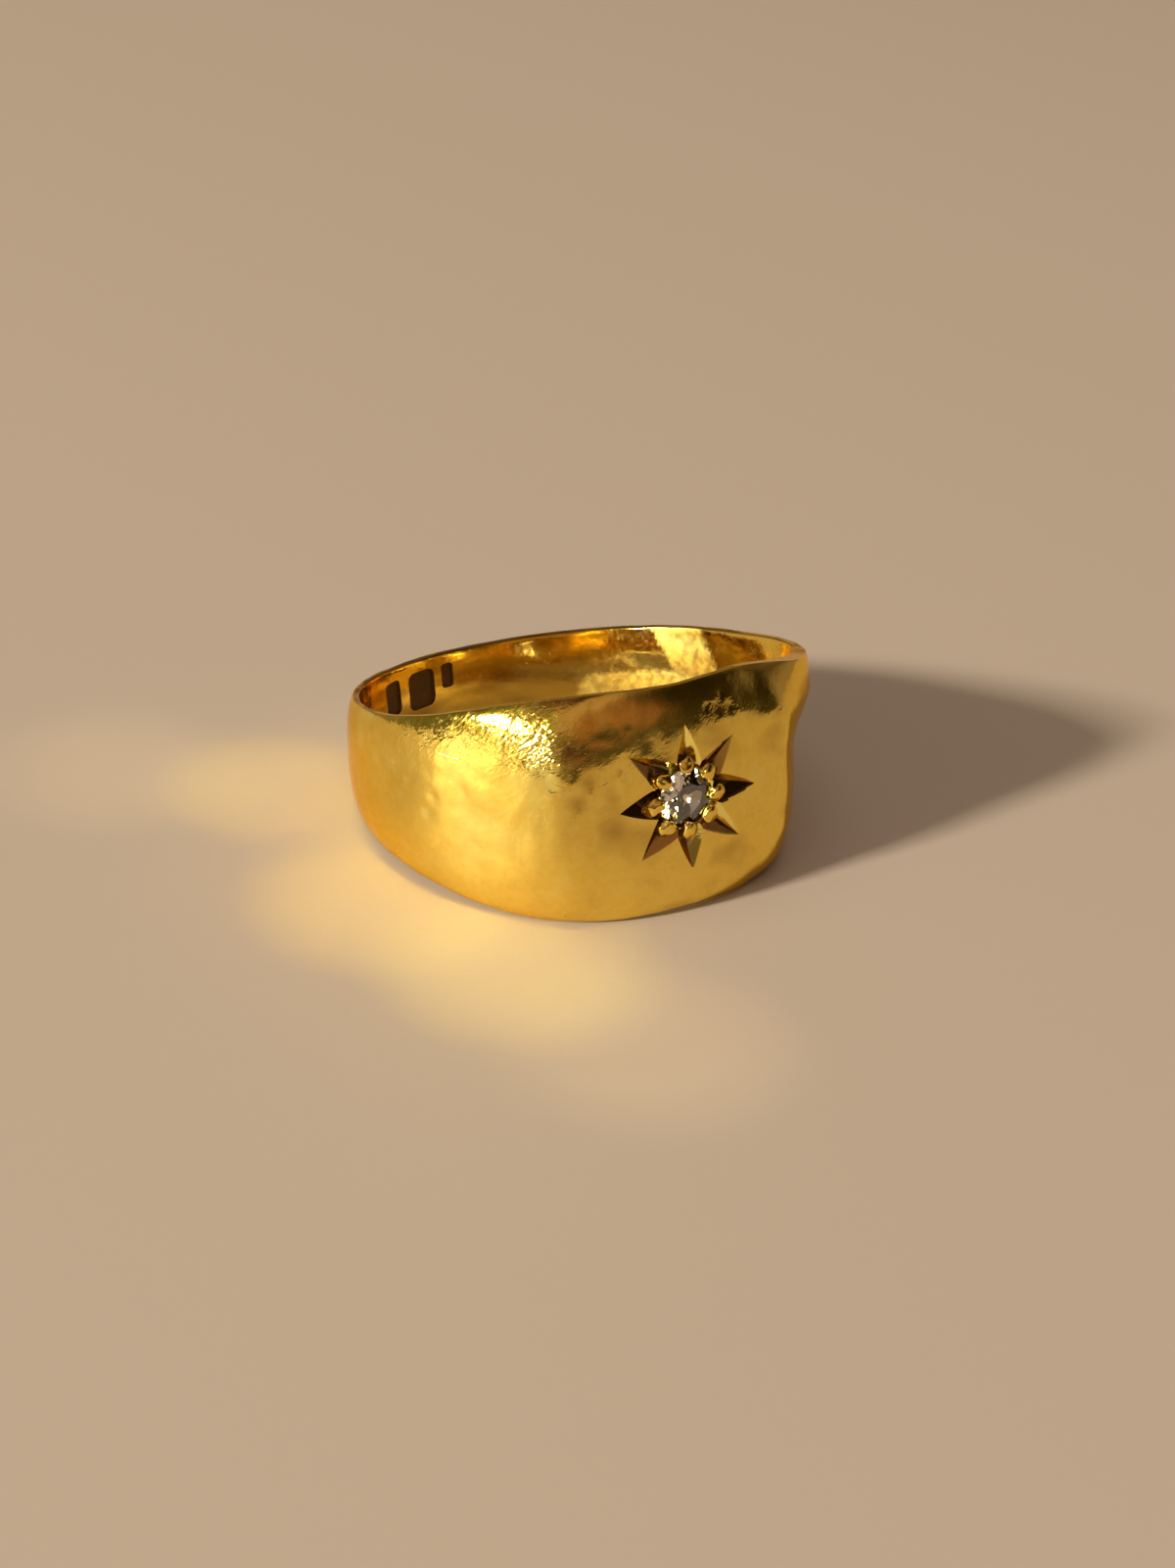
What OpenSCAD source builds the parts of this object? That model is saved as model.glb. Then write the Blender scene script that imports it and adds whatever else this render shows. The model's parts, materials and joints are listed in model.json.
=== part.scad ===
// Diamond signet ring: a wide tapered gold band, cut with an eight-ray star that holds
// one round diamond flush in its face. It lies on its side, face towards -Y, and rests
// on the lower rim. Lengths are millimetres and +Z is up.

/* [Band] */
// Radius of the finger hole
bore_r = 9; // [8.5:0.25:10]
// Width of the band at the middle of the face
face_w = 10; // [9:0.25:11]
// Width of the band at the back of the finger
back_w = 3.8; // [3:0.1:5]
// Thickness of the wall at the thick corners of the flattened face
corner_wall = 1.8; // [1.6:0.05:2.1]
// Thickness of the wall at the back
back_wall = 0.8; // [0.7:0.05:0.9]
// Flat edge of the band at the face
face_rim = 0.5; // [0.3:0.05:0.55]
// Flat edge of the band at the back
back_rim = 0.35; // [0.25:0.05:0.4]
// Roundness of the outer surface across the band, higher is flatter
crown_power = 2.6; // [2.2:0.1:4]

/* [Worn shoulder] */
// How far the upper edge of one shoulder is spread outward
flare = 0.9; // [0.5:0.05:1]
// Where the spread shoulder is, in degrees round from the face
flare_angle = 58; // [50:1:65]
// How far round the spread fades, in degrees
flare_reach = 20; // [16:1:22]
// How much lower the worn upper edge is beside that shoulder
edge_dip = 0.5; // [0:0.05:0.6]

/* [Diamond] */
// Radius of the diamond at its girdle
stone_r = 1.3; // [1.1:0.05:1.4]
// Radius of the table's corners
table_r = 0.7; // [0.6:0.02:0.8]
// Radius of the culet's corners
culet_r = 0.12; // [0.08:0.01:0.2]
// Height of the crown
crown_h = 0.36; // [0.25:0.01:0.4]
// Thickness of the girdle
girdle_h = 0.06; // [0.04:0.01:0.08]
// Depth of the pavilion
pavilion_h = 0.7; // [0.6:0.01:0.76]
// How far the girdle lies below the face
girdle_depth = 0.28; // [0.2:0.01:0.3]
// Gap left all round the diamond
stone_gap = 0.03; // [0.02:0.01:0.04]

/* [Star] */
// Height of the star's centre above the middle of the band
star_up = 0.1; // [-0.3:0.05:0.3]
// Radius at which neighbouring rays meet
ray_root_r = 1.66; // [1.6:0.02:1.8]
// Depth of a ray's V cut where it meets the others
ray_depth = 0.5; // [0.3:0.02:0.55]
// Radius of a gold bead
bead_r = 0.27; // [0.22:0.01:0.3]
// How far outside the diamond's edge the middles of the beads are
bead_out = 0.1; // [0.09:0.01:0.15]
// How far the beads stand above the face
bead_proud = 0.12; // [0.05:0.01:0.15]

/* [Hidden] */

// Rows down the band from the face to the back. Columns: degrees from the face, share of
// the way from the back's width to the face's, share from the back's wall to the corner's.
SECTIONS = [
    [0, 1.000, 0.38],
    [12, 1.015, 0.40],
    [22, 1.018, 0.61],
    [30, 0.995, 1.00],
    [36, 0.964, 0.83],
    [44, 0.901, 0.51],
    [54, 0.793, 0.25],
    [70, 0.59, 0.20],
    [90, 0.39, 0.05],
    [120, 0.20, 0.00],
    [150, 0.05, 0.00],
    [180, 0.00, 0.00]
];
ANGLE = 0;
WIDTH_SHARE = 1;
WALL_SHARE = 2;

// Rays of the hand-cut star. Columns: degrees round from the right, distance of the tip.
RAYS = [
    [-3, 3.55],
    [43, 3.40],
    [90, 3.25],
    [139, 3.50],
    [182, 3.20],
    [227, 3.30],
    [273, 3.20],
    [319, 3.60]
];

// Steps round the band and across it
around = 72;
across = 16;
// How far the band's solid runs inside the finger hole before that is bored
bore_stock = 1;
// Length of a cutter that passes right through
through = 30;
// The spread shoulder starts and ends at these heights above the middle of the band
flare_foot = 0.3;
flare_top = 2.5;
// Where the worn edge is lowest, and how far round the dip fades
dip_angle = 46;
dip_reach = 20;
// Cutter of the spread shoulder's inner wall: its radius, and where it leaves the hole
flare_cut_r = 5.5;
flare_cut_foot = 0.9;
// Height at which the cutter has moved out by the whole spread
flare_cut_top = 3.9;
// Sides of the girdle, and the angle between neighbouring main facets
girdle_sides = 16;
main_step = 45;
// Radius of the points where star facets and lower girdle facets end
star_point_r = stone_r * 0.76;
lower_point_r = stone_r * 0.42;
// Radius of the hole drilled under the diamond
drill_r = stone_r * 0.55;
// Distance of the beads from the star's centre
bead_ring_r = stone_r + bead_out;
// Radius of a bead's foot, and how deep the foot reaches into the gold
foot_r = bead_r * 0.75;
foot_depth = 0.85;
// Depth of the dish round the diamond, and the radius of its floor, inside the seat
dish_depth = girdle_depth;
dish_floor_r = stone_r - 0.1;
// Radius of the inner end of a ray's cutter
ray_inner_r = bead_ring_r - 0.1;
// How many times deeper a ray's cutter reaches above the face than below it
ray_over = 2;
// Half width of a ray where it meets the next, slightly inside that corner
ray_root_half = ray_root_r * tan(main_step / 2) * 0.94;
round_fn = 96;
bead_fn = 20;

last = len(SECTIONS) - 1;

// Smooth curve through one column of SECTIONS, level at the face and at the back
function row_below(a) = max([for (i = [0:last - 1]) if (SECTIONS[i][ANGLE] <= a) i]);
function slope(i, column) =
    (i == 0 || i == last) ? 0 :
    (SECTIONS[i + 1][column] - SECTIONS[i - 1][column]) / (SECTIONS[i + 1][ANGLE] - SECTIONS[i - 1][ANGLE]);
function hermite(p, q, from_slope, to_slope, t) =
    p * (2 * pow(t, 3) - 3 * pow(t, 2) + 1) + q * (3 * pow(t, 2) - 2 * pow(t, 3))
    + from_slope * (pow(t, 3) - 2 * pow(t, 2) + t) + to_slope * (pow(t, 3) - pow(t, 2));
function share(a, column) =
    let (i = row_below(abs(a)))
    let (step = SECTIONS[i + 1][ANGLE] - SECTIONS[i][ANGLE])
    let (t = (abs(a) - SECTIONS[i][ANGLE]) / step)
    hermite(SECTIONS[i][column], SECTIONS[i + 1][column], step * slope(i, column), step * slope(i + 1, column), t);

// Bell curve and smooth step
function bell(a, middle, reach) = exp(-pow((a - middle) / reach, 2));
function smooth(t) = let (c = min(max(t, 0), 1)) c * c * (3 - 2 * c);

// The band in its own frame: its axis is Z, its face looks along -Y, angles run from the
// face towards +X
function wall(a) = back_wall + (corner_wall - back_wall) * max(share(a, WALL_SHARE), 0);
function rim(a) = back_rim + (face_rim - back_rim) * max(share(a, WIDTH_SHARE), 0);
function low_half(a) = (back_w + (face_w - back_w) * share(a, WIDTH_SHARE)) / 2;
function high_half(a) = low_half(a) - edge_dip * bell(a, dip_angle, dip_reach);
function spread(a, z) =
    flare * bell(a, flare_angle, flare_reach) * smooth((z - flare_foot) / (flare_top - flare_foot));
function crown(a, t) = rim(a) + (wall(a) - rim(a)) * sqrt(max(1 - pow(abs(t), crown_power), 0));
function height(a, t) = t * (t > 0 ? high_half(a) : low_half(a));
function outer_r(a, t) = bore_r + crown(a, t) + spread(a, height(a, t));
function polar(a, r, z) = [r * sin(a), -r * cos(a), z];

// One section of the band: its outer curve from the lower rim to the upper, then the stock
function outer_points(a) =
    [for (j = [0:across]) let (t = sin(180 * j / across - 90)) polar(a, outer_r(a, t), height(a, t))];
function section(a) = concat(
    outer_points(a),
    [polar(a, bore_r - bore_stock, high_half(a)), polar(a, bore_r - bore_stock, -low_half(a))]
);
side = across + 3;
station_angles = [for (i = [0:around - 1]) 360 * i / around - 180];

// How far the face falls away from the star's plane at x across and z up
face_r = outer_r(0, star_up / high_half(0));
function face_drop(x, z) =
    let (h = z + star_up)
    let (a = asin(x / face_r))
    let (b = asin(x / outer_r(a, h / high_half(a))))
    face_r - outer_r(b, h / high_half(b)) * cos(b);

// The ring rests on the lower rim: on the back's outer edge and on the hole's edge at the
// two corners of the face. This is the lean of its axis from the vertical.
function lean_on(a) =
    atan((low_half(a) - low_half(180)) / (bore_r + rim(180) + bore_r * cos(a)));
lean = max([for (a = station_angles) if (abs(a) < 90) lean_on(a)]);
function leaned(p) = [p.x, p.y * cos(lean) + p.z * sin(lean), p.z * cos(lean) - p.y * sin(lean)];
hull_points = [
    for (a = station_angles) each [for (p = outer_points(a)) leaned(p)],
    for (a = station_angles) leaned(polar(a, bore_r, -low_half(a))),
    leaned([0, -face_r - bead_proud, star_up])
];
across_y = [for (p = hull_points) p.y];
upward = [for (p = hull_points) p.z];
rest_shift = [0, -(min(across_y) + max(across_y)) / 2, -min(upward)];

// Puts what is drawn in the band's frame where the ring lies
module at_rest() {
    translate(rest_shift)
        rotate([-lean, 0, 0])
            children();
}

// Puts what is drawn round the Z axis at the star, with +Z out of the face
module at_star() {
    translate([0, -face_r, star_up])
        rotate([90, 0, 0])
            children();
}

module band_stock() {
    points = [for (a = station_angles) each section(a)];
    faces = [
        for (i = [0:around - 1], j = [0:side - 1])
            let (n = (i + 1) % around, k = (j + 1) % side)
            each [
                [i * side + j, i * side + k, n * side + k],
                [i * side + j, n * side + k, n * side + j]
            ]
    ];
    polyhedron(points, faces);
}

// The inner wall of the spread shoulder, a smaller cylinder that leans outward
module flare_cutter() {
    cut_lean = atan(flare / (flare_cut_top - flare_cut_foot));
    rotate([0, 0, flare_angle - 90])
        translate([bore_r - flare_cut_r, 0, flare_cut_foot])
            rotate([0, cut_lean, 0])
                cylinder(r = flare_cut_r, h = face_w, $fn = round_fn);
}

// One V cut, pointed at the tip, whose two flat walls meet along its bottom
module ray_cutter(angle, tip_r) {
    tip = [tip_r, 0, -face_drop(tip_r * cos(angle), tip_r * sin(angle))];
    root_share = (tip_r - ray_inner_r) / (tip_r - ray_root_r);
    bottom = [ray_inner_r, 0, -ray_depth * root_share];
    half = ray_root_half * root_share * ray_over;
    top = bottom.z + ray_depth * root_share * ray_over;
    rotate([0, 0, angle])
        polyhedron(
            [tip, bottom, [ray_inner_r, half, top], [ray_inner_r, -half, top]],
            [[0, 2, 1], [0, 1, 3], [0, 3, 2], [1, 2, 3]]
        );
}

// The cuts round the diamond: eight rays, and the dish in which the beads stand
module star_cutter() {
    for (ray = RAYS) ray_cutter(ray[0], ray[1]);
    translate([0, 0, -dish_depth])
        cylinder(r1 = dish_floor_r, r2 = ray_root_r, h = dish_depth + bead_proud, $fn = round_fn);
}

// One bead raised from the gold at a ray's inner end, on its foot
module bead(angle) {
    rotate([0, 0, angle])
        translate([bead_ring_r, 0, 0]) {
            translate([0, 0, bead_proud - bead_r])
                sphere(r = bead_r, $fn = bead_fn);
            translate([0, 0, -foot_depth])
                cylinder(r = foot_r, h = foot_depth + bead_proud - bead_r, $fn = bead_fn);
        }
}

// The seat: the diamond's own outline with the gap round it, and the hole drilled below
module seat_cutter() {
    wide = stone_r + stone_gap;
    girdle_low = -girdle_depth - girdle_h - stone_gap;
    culet_z = girdle_low - pavilion_h;
    rotate_extrude($fn = round_fn)
        polygon([
            [0, culet_z],
            [culet_r + stone_gap, culet_z],
            [wide, girdle_low],
            [wide, -girdle_depth + stone_gap],
            [table_r + stone_gap, crown_h - girdle_depth + stone_gap],
            [table_r + stone_gap, crown_h],
            [0, crown_h]
        ]);
    translate([0, 0, -bore_stock - corner_wall])
        cylinder(r = drill_r, h = corner_wall, $fn = round_fn);
}

// The band, face, star and beads are one piece of gold
module ring_body() {
    color("#D99A26")
        at_rest()
            difference() {
                union() {
                    difference() {
                        band_stock();
                        at_star() star_cutter();
                    }
                    at_star()
                        for (ray = RAYS) bead(ray[0]);
                }
                at_star() seat_cutter();
                translate([0, 0, -through / 2])
                    cylinder(r = bore_r, h = through, $fn = round_fn * 2);
                flare_cutter();
            }
}

// Points of the diamond: z is measured from the face
function ring_of(n, r, z, turn) = [for (i = [0:n - 1]) [r * cos(360 * i / n + turn), r * sin(360 * i / n + turn), z]];
// Height on the line from the girdle to the table's edge or culet's edge, seen from the side
function along(from_r, from_z, to_r, to_z, r) = from_z + (to_z - from_z) * (r - from_r) / (to_r - from_r);

// An old round cut with 58 facets: table, crown, girdle, pavilion and a small culet
module diamond() {
    half = main_step / 2;
    mains = 360 / main_step;
    table_z = crown_h - girdle_depth;
    girdle_top = -girdle_depth;
    girdle_low = girdle_top - girdle_h;
    culet_z = girdle_low - pavilion_h;
    star_z = along(stone_r, girdle_top, table_r, table_z, star_point_r * cos(half));
    lower_z = along(stone_r, girdle_low, culet_r * cos(half), culet_z, lower_point_r * cos(half));
    points = concat(
        ring_of(mains, table_r, table_z, 0),
        ring_of(mains, star_point_r, star_z, half),
        ring_of(girdle_sides, stone_r, girdle_top, 0),
        ring_of(girdle_sides, stone_r, girdle_low, 0),
        ring_of(mains, lower_point_r, lower_z, half),
        ring_of(mains, culet_r, culet_z, half)
    );
    star_0 = mains;
    top_0 = star_0 + mains;
    low_0 = top_0 + girdle_sides;
    lower_0 = low_0 + girdle_sides;
    culet_0 = lower_0 + mains;
    faces = [
        [for (i = [mains - 1:-1:0]) i],
        [for (i = [0:mains - 1]) culet_0 + i],
        for (i = [0:mains - 1])
            let (n = (i + 1) % mains, b = (i + mains - 1) % mains)
            let (g = 2 * i, h = g + 1, k = (g + 2) % girdle_sides)
            each [
                [i, n, star_0 + i],
                [i, star_0 + i, top_0 + g, star_0 + b],
                [star_0 + i, top_0 + h, top_0 + g],
                [star_0 + i, top_0 + k, top_0 + h],
                [top_0 + g, top_0 + h, low_0 + h, low_0 + g],
                [top_0 + h, top_0 + k, low_0 + k, low_0 + h],
                [low_0 + g, low_0 + h, lower_0 + i],
                [low_0 + h, low_0 + k, lower_0 + i],
                [low_0 + g, lower_0 + i, culet_0 + i, culet_0 + b, lower_0 + b]
            ]
    ];
    color("#DCE4E8")
        at_rest()
            at_star()
                polyhedron(points, faces);
}

ring_body();
diamond();
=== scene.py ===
"""Diamond signet ring: the worn gold band with its star, and the stone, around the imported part."""

import json
from math import cos, degrees, pi, radians, sin, tan

import bpy
import numpy as np
from bpy.props import FloatProperty, FloatVectorProperty, IntProperty, PointerProperty
from mathutils import Matrix, Vector, noise


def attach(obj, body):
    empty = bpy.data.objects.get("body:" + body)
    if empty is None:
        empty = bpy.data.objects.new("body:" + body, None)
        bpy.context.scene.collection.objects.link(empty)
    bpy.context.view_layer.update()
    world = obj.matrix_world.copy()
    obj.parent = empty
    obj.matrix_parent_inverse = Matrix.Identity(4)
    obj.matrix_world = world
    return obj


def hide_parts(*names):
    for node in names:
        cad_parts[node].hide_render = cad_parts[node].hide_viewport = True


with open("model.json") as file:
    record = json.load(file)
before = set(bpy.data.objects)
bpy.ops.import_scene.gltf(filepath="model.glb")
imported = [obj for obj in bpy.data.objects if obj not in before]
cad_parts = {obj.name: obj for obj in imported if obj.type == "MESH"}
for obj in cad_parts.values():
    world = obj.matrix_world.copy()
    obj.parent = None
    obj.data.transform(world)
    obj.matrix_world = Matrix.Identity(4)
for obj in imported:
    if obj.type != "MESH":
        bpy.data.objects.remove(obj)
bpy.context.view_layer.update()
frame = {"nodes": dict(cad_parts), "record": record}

bl_info = {
    "name": "Diamond signet ring",
    "version": (1, 0, 0),
    "blender": (4, 5, 0),
    "location": "View3D > Sidebar > Ring",
    "description": "Models a worn gold signet ring with a star-set diamond",
    "category": "Add Mesh",
}

# The gold is modelled in millimetres, a thousand times its size, because the cuts are fine
# next to the boolean's own tolerance, and is brought to metres at the end
MM = 0.001
# Distances in mm below which points are merged, and faces count as having no area
MERGE, THIN = 1e-3, 1e-4

# The finger hole says where the ring lies and how far its axis leans back
HOLE = frame["record"]["mounts"][0]
HOLE_R = HOLE["dims"]["r_mm"]
AXIS = Vector(HOLE["axis"])
LEAN = np.arctan2(AXIS.y, AXIS.z)
RING_PLACE = Matrix.Translation(Vector(HOLE["pos_m"])) @ Matrix.Rotation(-LEAN, 4, "X")

# Rows down the band from the face to the back: degrees from the face, share of the way
# from the back's width to the face's, share from the back's wall to the corner's
SECTIONS = np.array([
    (0, 1.000, 0.38),
    (12, 1.015, 0.40),
    (22, 1.018, 0.61),
    (30, 0.995, 1.00),
    (36, 0.964, 0.83),
    (44, 0.901, 0.51),
    (54, 0.793, 0.25),
    (70, 0.59, 0.20),
    (90, 0.39, 0.05),
    (120, 0.20, 0.00),
    (150, 0.05, 0.00),
    (180, 0.00, 0.00),
])
ANGLE, WIDTH_SHARE, WALL_SHARE = 0, 1, 2

# Rays of the hand-cut star: degrees round from the right, distance of the tip in mm, how
# far the bottom of the cut lies to one side as a share of its half width, distance of the
# bead in mm
RAYS = [
    (-3, 3.55, 0.60, 1.50),
    (43, 3.40, -0.25, 1.44),
    (90, 3.25, -0.25, 1.50),
    (139, 3.50, -0.60, 1.54),
    (182, 3.20, -0.30, 1.56),
    (227, 3.30, 0.00, 1.54),
    (273, 3.20, -0.10, 1.46),
    (319, 3.60, 0.10, 1.45),
]

# Single deeper scratches on the outside: degrees from the face and height of both ends, and
# width in mm
SINGLES = [
    (-62.4, 2.42, -56.0, 2.29, 0.05),
    (-33.8, 1.79, -30.6, 1.56, 0.09),
    (-22.4, 1.33, -20.5, 1.48, 0.08),
    (-26.1, 1.07, -26.5, -2.82, 0.04),
    (-37.2, 1.63, -33.9, 1.16, 0.05),
    (-92.0, -0.69, -87.0, -0.50, 0.10),
    (-93.0, -1.60, -89.1, -1.42, 0.10),
    (-33.3, -0.69, -31.5, -0.46, 0.05),
    (-71.0, 0.30, -64.0, -1.10, 0.04),
    (8.0, -3.10, 15.0, -3.60, 0.04),
    (58.0, 0.90, 66.0, -0.60, 0.05),
    (128.0, 0.40, 139.0, -0.50, 0.05),
]

# Broad sanded strokes on the finger hole's wall, where the ring was once resized, given in the
# same way
SANDED = [
    (115.5, 2.60, 107.0, 0.60, 3.0),
    (141.0, -0.95, 116.0, -0.50, 2.3),
]

# Bare stamped recesses inside the band: degrees round from the face, middle height, width
# along the wall and height, in mm
MARKS = [
    (-148.2, 0.65, 1.35, 1.75),
    (-161.5, 0.50, 1.85, 1.95),
    (-171.8, 0.80, 0.72, 1.25),
]

# Dents worn into the outside: degrees round from the face, height, radius and depth in mm
DENTS = [
    (-64.5, 0.48, 0.26, 0.034),
    (-66.5, -0.34, 0.24, 0.028),
    (-75.0, 0.20, 0.30, 0.020),
    (-87.0, 1.30, 0.34, 0.028),
    (-33.0, 1.50, 0.30, 0.034),
    (-27.5, 0.73, 0.42, 0.030),
    (-34.0, 2.03, 0.40, 0.030),
    (-25.0, 1.57, 0.34, 0.026),
    (-47.0, -1.90, 0.45, 0.018),
    (-29.0, 2.93, 0.40, 0.034),
    (-38.0, 2.60, 0.34, 0.030),
    (-20.5, 3.30, 0.34, 0.030),
    (-14.8, 3.50, 0.20, 0.026),
    (7.0, 3.80, 0.20, 0.050),
    (10.5, 3.66, 0.24, 0.070),
    (14.0, 3.58, 0.20, 0.060),
    (12.0, 4.15, 0.16, 0.040),
    (30.5, -2.14, 0.60, 0.016),
    (64.0, 0.30, 0.50, 0.022),
    (96.0, -0.60, 0.40, 0.020),
    (140.0, 0.50, 0.35, 0.016),
    (-118.0, 0.40, 0.42, 0.020),
]
# The upper edge of the left shoulder is battered: degrees and distances below the edge that
# the small knocks fall in, how many there are, and their radii and depths in mm
KNOCKS = {"angles": (-90, -14), "below": (0.3, 3.2), "count": 90,
          "radius": (0.12, 0.30), "depth": (0.003, 0.012)}


def in_mm(name, text, default):
    """A length in millimetres."""
    return FloatProperty(name=name, description=text + ", mm", default=default, precision=3)


def in_degrees(name, text, default):
    """An angle in degrees, as the tables above give theirs."""
    return FloatProperty(name=name, description=text + ", degrees", default=default, precision=1)


def plain(name, text, default):
    """A share or another plain number."""
    return FloatProperty(name=name, description=text, default=default, precision=3)


def in_metres(name, text, default):
    """A length in metres, which the panel shows in the scene's unit."""
    return FloatProperty(name=name, description=text, default=default, unit="LENGTH")


def turned(name, text, default):
    """An angle given in degrees and kept in radians."""
    return FloatProperty(name=name, description=text, default=radians(default), subtype="ANGLE")


def in_colour(name, text, default):
    """A colour."""
    return FloatVectorProperty(
        name=name, description=text, subtype="COLOR", size=3, min=0, max=1, default=default
    )


class BandSizes(bpy.types.PropertyGroup):
    face_width: in_mm("Face width", "Width of the band at the middle of the face", 10.0)
    back_width: in_mm("Back width", "Width of the band at the back of the finger", 3.8)
    corner_wall: in_mm("Corner wall", "Wall at the thick corners of the flattened face", 1.8)
    back_wall: in_mm("Back wall", "Wall at the back", 0.8)
    face_rim: in_mm("Face rim", "Flat edge of the band at the face", 0.5)
    back_rim: in_mm("Back rim", "Flat edge of the band at the back", 0.35)
    crown_power: plain("Crown power", "Roundness of the outside across the band", 2.6)
    edge_slope: plain("Edge slope", "Share of the crown's curve before the rim cuts it", 0.975)
    inner_edge: in_mm("Inner edge", "Rounding of the finger hole's edges", 0.11)
    comfort: in_mm("Comfort", "How much wider the worn finger hole is at its edges", 0.13)
    flare: in_mm("Flare", "How far one shoulder's upper edge is spread outward", 0.9)
    flare_angle: in_degrees("Flare angle", "Where that is, round from the face", 58.0)
    flare_reach: in_degrees("Flare reach", "How far round the spread fades", 20.0)
    edge_dip: in_mm("Edge dip", "How much lower the worn upper edge is beside it", 0.5)
    dip_angle: in_degrees("Dip angle", "Where the worn edge is lowest, round from the face", 46.0)
    roll_fill: plain("Roll fill", "How full the spread shoulder stays up to its rim, as a share", 0.8)
    roll_angle: in_degrees("Roll angle", "Where it is fullest, round from the face", 47.0)
    wave: in_mm("Wave", "Height of the hand-worn surface's slow waves", 0.034)
    inner_wave: in_mm("Inner wave", "Height of the streaks along the finger hole", 0.022)
    around: IntProperty(name="Around", description="Stations round the band", default=480)


class StarSizes(bpy.types.PropertyGroup):
    star_up: in_mm("Star up", "Height of the star above the middle of the band", 0.1)
    stone_r: in_mm("Stone radius", "Radius of the diamond at its girdle", 1.3)
    table_r: in_mm("Table radius", "Radius of the diamond's table", 0.7)
    culet_r: in_mm("Culet radius", "Radius of the diamond's culet", 0.12)
    crown_h: in_mm("Crown height", "Height of the diamond's crown", 0.36)
    girdle_h: in_mm("Girdle", "Thickness of the diamond's girdle", 0.06)
    pavilion_h: in_mm("Pavilion", "Depth of the diamond's pavilion", 0.7)
    girdle_depth: in_mm("Girdle depth", "How far the girdle lies below the face", 0.28)
    stone_gap: in_mm("Stone gap", "Gap left all round the diamond", 0.03)
    root_r: in_mm("Ray root", "Radius at which neighbouring rays meet", 1.66)
    ray_depth: in_mm("Ray depth", "Depth of a ray where it meets the others", 0.46)
    ray_belly: plain("Ray belly", "How much the sides of a ray bulge, as a share", 0.3)
    bead_r: in_mm("Bead radius", "Radius of a gold bead", 0.36)
    bead_lump: in_mm("Bead lumps", "How uneven a bead is", 0.12)
    bead_proud: in_mm("Bead height", "How far the beads stand above the face", 0.12)
    mark_depth: in_mm("Mark depth", "Depth of the stamped recesses", 0.12)


class GoldLook(bpy.types.PropertyGroup):
    gold: in_colour("Gold", "Colour of the worn gold", (0.99, 0.74, 0.16))
    deep_gold: in_colour("Deep gold", "Colour of the redder patches", (0.95, 0.64, 0.09))
    grime: in_colour("Grime", "Colour of old polish and dirt in the cuts", (0.07, 0.03, 0.009))
    # Clean is a painted highlight on the walls of the cuts that face the low sun; the stain on the
    # other walls is also painted shade
    clean: in_colour("Clean", "Colour of the bright walls of the cuts", (1.0, 0.87, 0.25))
    stain_and_shade: in_colour("Stain", "Colour of the stained walls of the cuts", (0.34, 0.17, 0.045))
    scratch: in_colour("Scratch", "Colour of the dulled metal in a scratch", (0.62, 0.34, 0.05))
    edge: in_colour("Edge tint", "Tint of the gold seen at a low angle", (1.0, 0.80, 0.50))
    polish: FloatProperty(
        name="Polish", description="Roughness of the worn polish", subtype="FACTOR",
        min=0, max=1, default=0.05,
    )


class StoneLook(bpy.types.PropertyGroup):
    tint: in_colour("Tint", "Body colour of the diamond", (0.98, 0.92, 0.74))
    pale: in_colour("Pale", "Colour of the diamond's paler parts", (0.99, 0.97, 0.90))


class StageLook(bpy.types.PropertyGroup):
    floor: in_colour("Floor", "Colour of the plain pale floor", (0.50, 0.41, 0.325))
    floor_size: in_metres("Floor size", "Width of the floor", 4.0)
    distance: in_metres("Camera distance", "From the camera to the ring", 0.135)
    azimuth: turned("Camera azimuth", "Round from the front", -32.0)
    elevation: turned("Camera elevation", "Above the floor", 28.97)
    roll: turned("Camera roll", "Turn of the picture", 3.3)


def settings(name):
    return getattr(bpy.context.scene, name)


def only(obj):
    """Selects one object alone and makes it active."""
    bpy.ops.object.select_all(action="DESELECT")
    obj.select_set(True)
    bpy.context.view_layer.objects.active = obj
    return obj


def new_piece(name):
    """Names what a primitive operator has just added, with its place taken into its mesh."""
    obj = bpy.context.view_layer.objects.active
    obj.name = obj.data.name = name
    only(obj)
    bpy.ops.object.transform_apply(location=True, rotation=True, scale=True)
    return obj


def edit(obj):
    """Opens one object in edit mode with everything selected."""
    only(obj)
    bpy.ops.object.mode_set(mode="EDIT")
    bpy.ops.mesh.select_all(action="SELECT")


def end_edit():
    bpy.ops.object.mode_set(mode="OBJECT")


def spin_round(obj, steps):
    """Spins an outline all the way round Z and merges where it closes."""
    edit(obj)
    bpy.ops.mesh.spin(steps=steps, angle=2 * pi, center=(0, 0, 0), axis=(0, 0, 1))
    bpy.ops.mesh.select_all(action="SELECT")
    bpy.ops.mesh.remove_doubles(threshold=MERGE)
    bpy.ops.mesh.delete_loose()
    end_edit()


def slice_at(distances, normal):
    """Cuts new edges into the piece in edit mode, at each distance along the normal."""
    for distance in distances:
        bpy.ops.mesh.select_all(action="SELECT")
        bpy.ops.mesh.bisect(plane_co=Vector(normal) * distance, plane_no=normal)


def points_of(obj):
    co = np.empty(len(obj.data.vertices) * 3)
    obj.data.vertices.foreach_get("co", co)
    return co.reshape(-1, 3)


def set_points(obj, co):
    obj.data.vertices.foreach_set("co", np.ascontiguousarray(co).ravel())
    obj.data.update()


def outward(obj):
    """Turns every face of a closed shape outward."""
    edit(obj)
    bpy.ops.mesh.normals_make_consistent(inside=False)
    end_edit()


def combine(obj, other, how):
    """Cuts other out of obj, or fuses it on, and removes it."""
    only(obj)
    change = obj.modifiers.new(how.title(), "BOOLEAN")
    change.operation = how
    change.solver = "EXACT"
    change.object = other
    bpy.ops.object.modifier_apply(modifier=change.name)
    bpy.data.objects.remove(other)


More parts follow.
